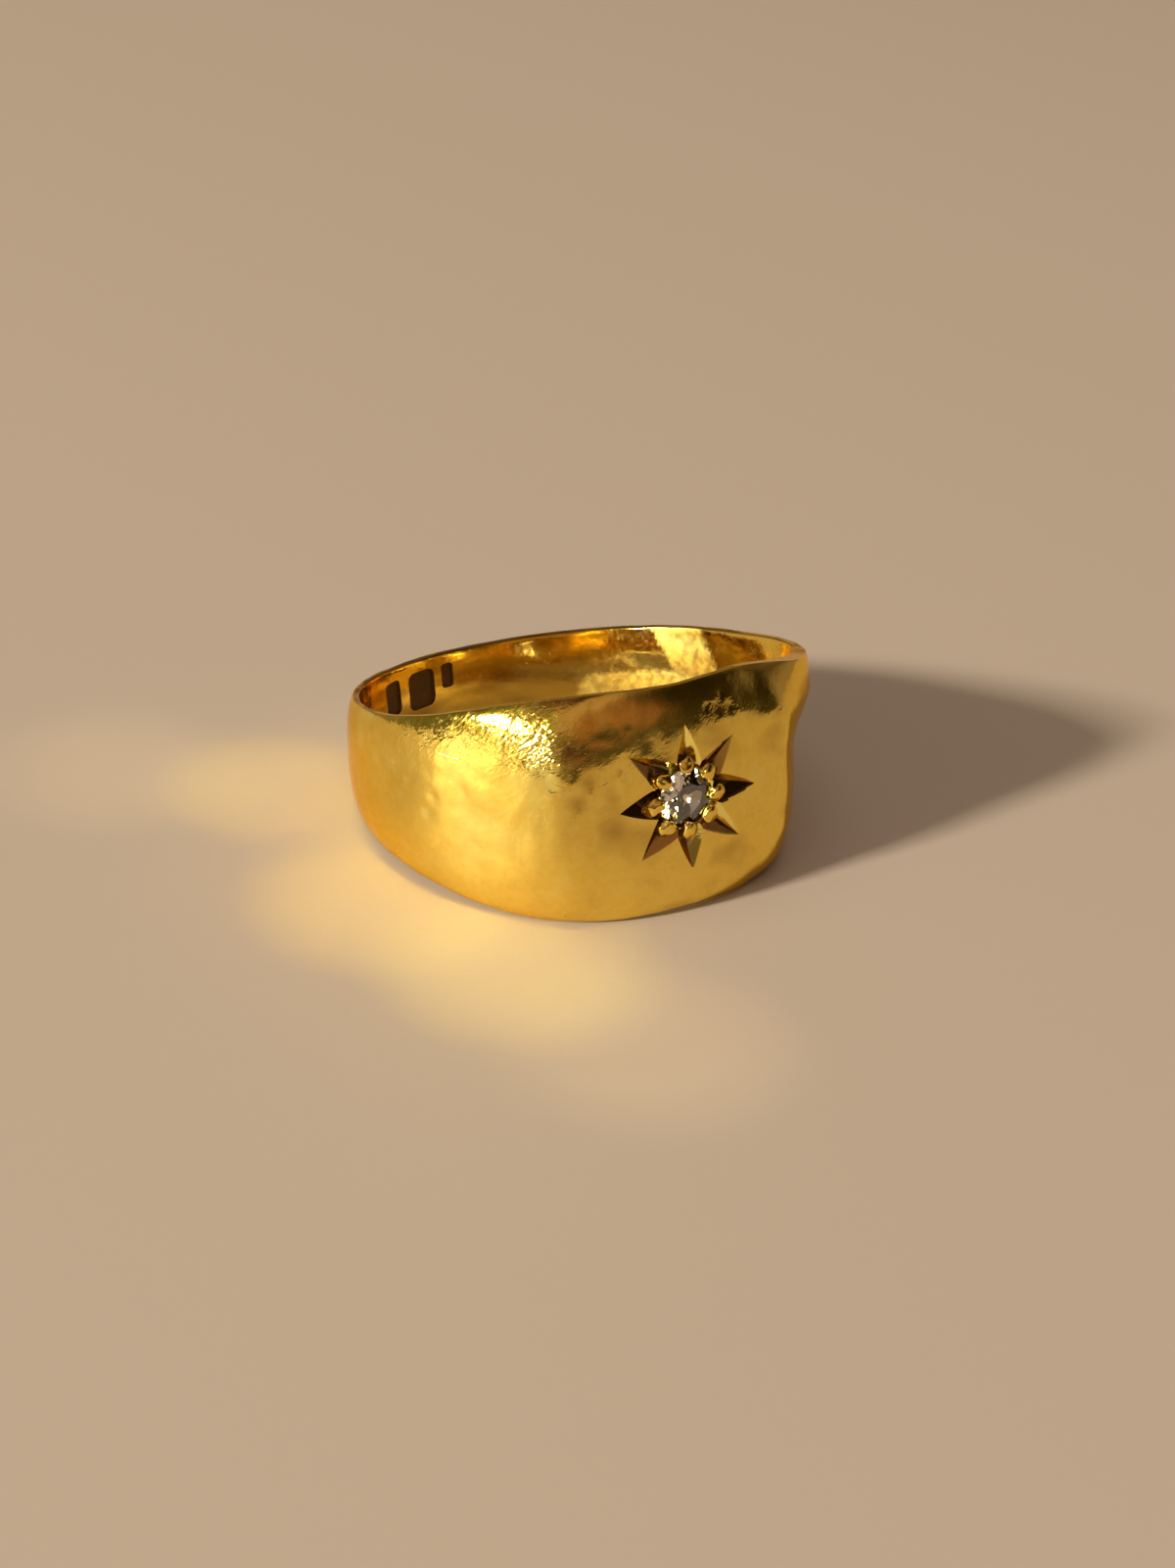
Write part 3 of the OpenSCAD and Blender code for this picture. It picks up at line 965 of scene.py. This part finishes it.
def gold_masks(n, place, band):
    """What the gold's colour, roughness and height follow, by name, each from 0 to 1."""
    masks = {name: n.add("ShaderNodeAttribute", attribute_name=name).outputs["Fac"]
             for name in ("recess", "battered", "satin")}
    scratches, single = scratch_group(), single_group()
    hairlines = []
    for turn, scale, width, cover in SCRATCHES:
        turned = n.add("ShaderNodeMapping", {"Vector": place, "Rotation": turn}).outputs[0]
        drawn = n.group(scratches, Vector=turned, Scale=scale, Width=width, Cover=cover)
        hairlines.append(drawn["Mask"])
    masks["deep_lines"] = strokes(n, single, place, SINGLES, band.outer_r, 0.3)
    masks["lines"] = n.highest([*hairlines, masks["deep_lines"]])
    masks["sanded"] = n.mapped(strokes(n, single, place, SANDED, band.hole_r, 1.0), 0.05, 0.35)
    ragged = n.mapped(n.noise(place, 2400.0, 3.0, 0.6), 0.3, 0.7, -0.08, 0.08)
    masks["dirt"] = n.mapped(n.math("ADD", masks["recess"], ragged), 0.6, 0.95)
    return masks


def gold_colour(n, place, look, masks):
    """Gold with redder patches and dull scratches, a painted highlight on the cuts' walls that face
    the low sun and stain with painted shade on the others, and grime.
    """
    tone = tone_group()
    slow = n.group(tone, Vector=place, Scale=260.0)["Mask"]
    quick = n.group(tone, Vector=place, Scale=2800.0)["Mask"]
    patches = n.math("ADD", n.math("MULTIPLY", slow, 0.4), n.math("MULTIPLY", quick, 0.5))
    metal = n.mix(patches, (*look.gold, 1), (*look.deep_gold, 1))
    metal = n.mix(n.math("MULTIPLY", masks["lines"], 0.35), metal, (*look.scratch, 1))
    # Walls facing the low sun get the clean colour as a painted highlight; the others get stain that
    # is also painted shade
    facing = n.dot(n.add("ShaderNodeNewGeometry").outputs["True Normal"], LIT_SIDE)
    cut = n.mapped(masks["recess"], 0.01, 0.12)
    painted_lit = n.math("MULTIPLY", cut, n.mapped(facing, 0.18, 0.42))
    stained_and_shaded = n.math("MULTIPLY", cut, n.mapped(facing, 0.18, 0.42, 0.9, 0.0))
    metal = n.mix(painted_lit, metal, (*look.clean, 1))
    metal = n.mix(stained_and_shaded, metal, (*look.stain_and_shade, 1))
    return n.mix(masks["dirt"], metal, (*look.grime, 1))


def gold_roughness(n, place, look, masks):
    """Polish, with smudges, dulled scratches, a satin skin's specks and the sanded strokes."""
    smudge = n.mapped(n.noise(place, 420.0, 4.0, 0.65), 0.38, 0.75, 0.0, 0.08)
    specks = n.mapped(n.noise(place, 5200.0, 3.0, 0.65), 0.46, 0.72, 0.0, 0.16)
    rough = n.math("ADD", n.math("ADD", smudge, look.polish), n.math("MULTIPLY", masks["lines"], 0.25))
    rough = n.math("ADD", rough, n.math("MULTIPLY", specks, masks["satin"]))
    grit = n.mapped(n.noise(place, 2600.0, 3.0, 0.6), 0.35, 0.65, 0.38, 0.56)
    rough = n.math("MAXIMUM", rough, n.math("MULTIPLY", masks["sanded"], grit))
    return n.math("ADD", rough, n.math("MULTIPLY", masks["dirt"], 0.3))


def gold_height(n, place, masks):
    """Height in metres of the worn surface less its scratches, flattened inside the cuts."""
    slanted = n.add("ShaderNodeMapping", {"Vector": place, "Rotation": (0.2, 0.75, 0.5)}).outputs[0]
    wrinkles = n.math("ADD", n.math("MULTIPLY", masks["battered"], WRINKLE_DEPTH), CALM_WRINKLE)
    skin = n.math("ADD", n.math("MULTIPLY", masks["satin"], SATIN_SKIN), CALM_SKIN)
    height = n.group(worn_group(), Vector=slanted, Skin=skin, Wrinkles=wrinkles)["Height"]
    height = n.math("SUBTRACT", height, n.math("MULTIPLY", masks["lines"], SCRATCH_DEPTH))
    height = n.math("SUBTRACT", height, n.math("MULTIPLY", masks["deep_lines"], SINGLE_DEPTH))
    return n.math("MULTIPLY", height, n.mapped(masks["recess"], 0.1, 0.5, 1.0, 0.15))


def gold_material(band):
    """Worn, once mirror-polished gold, darker where the cuts hold old polish."""
    look = settings("gold_look")
    material, n, shader = new_material("worn_gold")
    link = material.node_tree.links.new
    place = n.add("ShaderNodeTexCoord").outputs["Object"]
    masks = gold_masks(n, place, band)
    metallic = n.math("SUBTRACT", 1.0, n.math("MULTIPLY", masks["dirt"], 0.75))
    height = gold_height(n, place, masks)
    bump = n.add("ShaderNodeBump", {"Height": height, "Strength": 1.0, "Distance": 1.0})
    link(gold_colour(n, place, look, masks), shader.inputs["Base Color"])
    link(metallic, shader.inputs["Metallic"])
    link(gold_roughness(n, place, look, masks), shader.inputs["Roughness"])
    link(bump.outputs["Normal"], shader.inputs["Normal"])
    shader.inputs["Specular Tint"].default_value = (*look.edge, 1)
    return material


# How strongly diamond bends light
DIAMOND_IOR = 2.417


class RING_OT_diamond(bpy.types.Operator):
    """Gives the cut stone its clear, slightly warm glass-like look."""

    bl_idname = "ring.diamond"
    bl_label = "Diamond"

    def execute(self, context):
        look = settings("stone_look")
        material, n, shader = new_material("old_cut_diamond")
        place = n.add("ShaderNodeTexCoord").outputs["Object"]
        cloud = n.mapped(n.noise(place, 1800.0, 2.0), 0.3, 0.7)
        tinted = n.mix(cloud, (*look.tint, 1), (*look.pale, 1))
        material.node_tree.links.new(tinted, shader.inputs["Base Color"])
        shader.inputs["IOR"].default_value = DIAMOND_IOR
        shader.inputs["Transmission Weight"].default_value = 1.0
        shader.inputs["Metallic"].default_value = 0.0
        worn = n.mapped(n.noise(place, 9000.0, 2.0), 0.45, 0.8, 0.0, 0.05)
        material.node_tree.links.new(worn, shader.inputs["Roughness"])
        stone = frame["nodes"]["diamond"]
        stone.data.materials.clear()
        stone.data.materials.append(material)
        return {"FINISHED"}


def direction(azimuth, elevation):
    """Unit vector toward azimuth, in degrees round from the front, and elevation."""
    az, el = radians(azimuth), radians(elevation)
    return Vector((sin(az) * cos(el), -cos(az) * cos(el), sin(el)))


def new_light(kind, name, power, colour):
    """A light that the camera doesn't see."""
    data = bpy.data.lights.new(name, kind)
    data.energy, data.color = power, colour
    obj = bpy.data.objects.new(name, data)
    bpy.context.scene.collection.objects.link(obj)
    obj.visible_camera = False
    return obj


def area_light(name, azimuth, elevation, distance, size, power, colour):
    """A soft square light that looks at the ring from azimuth and elevation, in degrees."""
    obj = new_light("AREA", name, power, colour)
    obj.data.shape, obj.data.size = "SQUARE", size
    toward = direction(azimuth, elevation)
    obj.rotation_euler = toward.to_track_quat("Z", "Y").to_euler()
    obj.location = toward * distance
    return obj


def pool_light(name, x, y, reach, blend, power, colour):
    """A soft pool of light round (x, y) on the floor, with reach for its radius. The gold
    mirrors the pool and not its source."""
    obj = new_light("SPOT", name, power, colour)
    obj.data.spot_blend = blend
    obj.data.spot_size, obj.data.shadow_soft_size = 2 * np.arctan(reach / POOL_HEIGHT), POOL_SOURCE
    obj.location = (x, y, POOL_HEIGHT)
    obj.visible_glossy = False
    return obj


# Degrees round from the front, degrees up, distance, size, power and colour of the low sun and
# of the soft light from above
KEY = (-86.5, 23, 1.44, 0.144, 32.0, (1.0, 0.92, 0.78))
CEILING = (0, 85, 0.5, 0.6, 0.65, (1.0, 0.94, 0.87))

# Pools of sunlight that the gold throws on the floor: place, reach, softness, power, colour,
# and, for all of them, the height and the radius of their sources
POOL_HEIGHT, POOL_SOURCE = 0.03, 0.0005
POOLS = [
    (0.0048, -0.0050, 0.0030, 1.0, 0.020, (1.0, 0.50, 0.12)),
    (-0.0112, -0.0035, 0.0070, 1.0, 0.015, (1.0, 0.72, 0.05)),
    (-0.0085, -0.0108, 0.0070, 1.0, 0.015, (1.0, 0.85, 0.10)),
    (-0.0112, 0.0075, 0.0060, 1.0, 0.011, (1.0, 0.76, 0.08)),
    (-0.0065, -0.0180, 0.0075, 1.0, 0.006, (1.0, 0.85, 0.40)),
    (-0.0170, 0.0120, 0.0070, 1.0, 0.005, (1.0, 0.85, 0.40)),
]

# Small bright panels that only the light inside the stone meets: degrees round from the front,
# degrees up, size in metres; and their distance, power for each square metre, and colour
SPARKLES = [(-62, 38, 0.16), (-18, 14, 0.10), (22, 48, 0.12), (-100, 55, 0.14), (60, 20, 0.08),
            (-45, 66, 0.12), (-75, 10, 0.10), (-140, 35, 0.12), (120, 50, 0.12)]
SPARKLE_DISTANCE, SPARKLE_POWER, SPARKLE_COLOUR = 0.2, 30, (1.0, 0.93, 0.72)

# The room that the gold reflects, soft patches of light on dim walls: degrees round from
# the front, degrees up, degrees from its middle to where it has faded, colour
ROOM_DARK = (0.060, 0.045, 0.022)
ROOM_PATCHES = [
    (180, 35, 90, (0.26, 0.19, 0.15)),
    (-30, 52, 58, (0.42, 0.27, 0.20)),
    (-125, 35, 45, (0.12, 0.11, 0.03)),
    (-30, 8, 26, (0.17, 0.12, 0.07)),
    (-78, 35, 30, (0.30, 0.30, 0.15)),
    (-88, 9, 12, (0.9, 0.8, 0.32)),
    (-86.5, 23, 22, (0.50, 0.45, 0.18)),
    (-86.5, 23, 9, (1.6, 1.5, 0.8)),
    (6, 4, 12, (0.07, 0.055, 0.03)),
    (12, 28, 26, (0.30, 0.14, 0.08)),
    (45, 32, 40, (0.020, 0.013, 0.004)),
    (80, 5, 25, (0.26, 0.19, 0.17)),
    (0, 90, 20, (0.08, 0.035, 0.02)),
]


def room():
    """The world, made of ROOM_PATCHES."""
    world = bpy.data.worlds.new("room")
    world.use_nodes = True
    w = Nodes(world.node_tree)
    sight = w.add("ShaderNodeTexCoord").outputs["Generated"]
    colour = (*ROOM_DARK, 1)
    for azimuth, elevation, reach, patch in ROOM_PATCHES:
        soft = w.add("ShaderNodeMapRange", {
            "Value": w.dot(sight, direction(azimuth, elevation)),
            "From Min": cos(radians(reach)), "From Max": 1.0,
        }, interpolation_type="SMOOTHSTEP").outputs["Result"]
        colour = w.mix(soft, colour, (*patch, 1))
    background = world.node_tree.nodes["Background"]
    world.node_tree.links.new(colour, background.inputs["Color"])
    background.inputs["Strength"].default_value = 1.0
    return world


def pale_floor(look):
    """A plain floor with a slight sheen."""
    bpy.ops.mesh.primitive_plane_add(size=look.floor_size, location=(0, 0, 0))
    floor = new_piece("floor")
    material, _, shader = new_material("pale_floor")
    shader.inputs["Base Color"].default_value = (*look.floor, 1)
    shader.inputs["Roughness"].default_value = 0.66
    shader.inputs["Specular IOR Level"].default_value = 0.7
    floor.data.materials.append(material)
    return floor


# What the camera looks at, in metres, and its lens and sensor in mm
AIM = Vector((0.35, -1.0, 1.7)) * MM
LENS, SENSOR = 69.4, 36.0


def add_camera(look):
    """The scene's camera, at the photo's angle to the ring."""
    data = bpy.data.cameras.new("camera")
    data.lens, data.sensor_width = LENS, SENSOR
    data.clip_start, data.clip_end = 0.01, 10.0
    camera = bpy.data.objects.new("camera", data)
    bpy.context.scene.collection.objects.link(camera)
    back = direction(degrees(look.azimuth), degrees(look.elevation))
    right = Vector((cos(look.azimuth), sin(look.azimuth), 0))
    turn = Matrix((right, back.cross(right), back)).transposed().to_4x4()
    place = Matrix.Translation(AIM + back * look.distance)
    camera.matrix_world = place @ turn @ Matrix.Rotation(look.roll, 4, "Z")
    bpy.context.scene.camera = camera


class RING_OT_stage(bpy.types.Operator):
    """Sets the plain pale floor, the low sun and the soft light round it, and the camera."""

    bl_idname = "ring.stage"
    bl_label = "Stage"

    def execute(self, context):
        look = settings("stage_look")
        pale_floor(look)
        area_light("key", *KEY)
        ceiling = area_light("ceiling", *CEILING)
        ceiling.visible_glossy = False
        for azimuth, elevation, size in SPARKLES:
            sparkle = area_light("sparkle", azimuth, elevation, SPARKLE_DISTANCE, size,
                                 SPARKLE_POWER * size**2, SPARKLE_COLOUR)
            sparkle.visible_glossy = sparkle.visible_diffuse = False
        for i, pool in enumerate(POOLS):
            pool_light(f"pool_{i}", *pool)
        context.scene.world = room()
        context.scene.view_settings.view_transform = "Standard"
        add_camera(look)
        return {"FINISHED"}


class RING_PT_panel(bpy.types.Panel):
    """Lists the ring's operators and sizes."""

    bl_idname = "RING_PT_panel"
    bl_label = "Diamond signet ring"
    bl_space_type = "VIEW_3D"
    bl_region_type = "UI"
    bl_category = "Ring"

    def draw(self, context):
        for operator in OPERATORS:
            self.layout.operator(operator.bl_idname)
        for name in GROUPS:
            box = self.layout.box()
            group = getattr(context.scene, name)
            for prop in group.bl_rna.properties:
                if prop.identifier not in ("rna_type", "name"):
                    box.prop(group, prop.identifier)


GROUPS = {
    "band_sizes": BandSizes,
    "star_sizes": StarSizes,
    "gold_look": GoldLook,
    "stone_look": StoneLook,
    "stage_look": StageLook,
}
OPERATORS = [RING_OT_gold, RING_OT_diamond, RING_OT_stage]


def register():
    for cls in (*GROUPS.values(), *OPERATORS, RING_PT_panel):
        bpy.utils.register_class(cls)
    for name, group in GROUPS.items():
        setattr(bpy.types.Scene, name, PointerProperty(type=group))


def unregister():
    for name in GROUPS:
        delattr(bpy.types.Scene, name)
    for cls in reversed((*GROUPS.values(), *OPERATORS, RING_PT_panel)):
        bpy.utils.unregister_class(cls)


def main():
    """Makes the ring, its stone and the stage."""
    register()
    bpy.ops.ring.gold()
    bpy.ops.ring.diamond()
    bpy.ops.ring.stage()


if __name__ == "__main__":
    main()
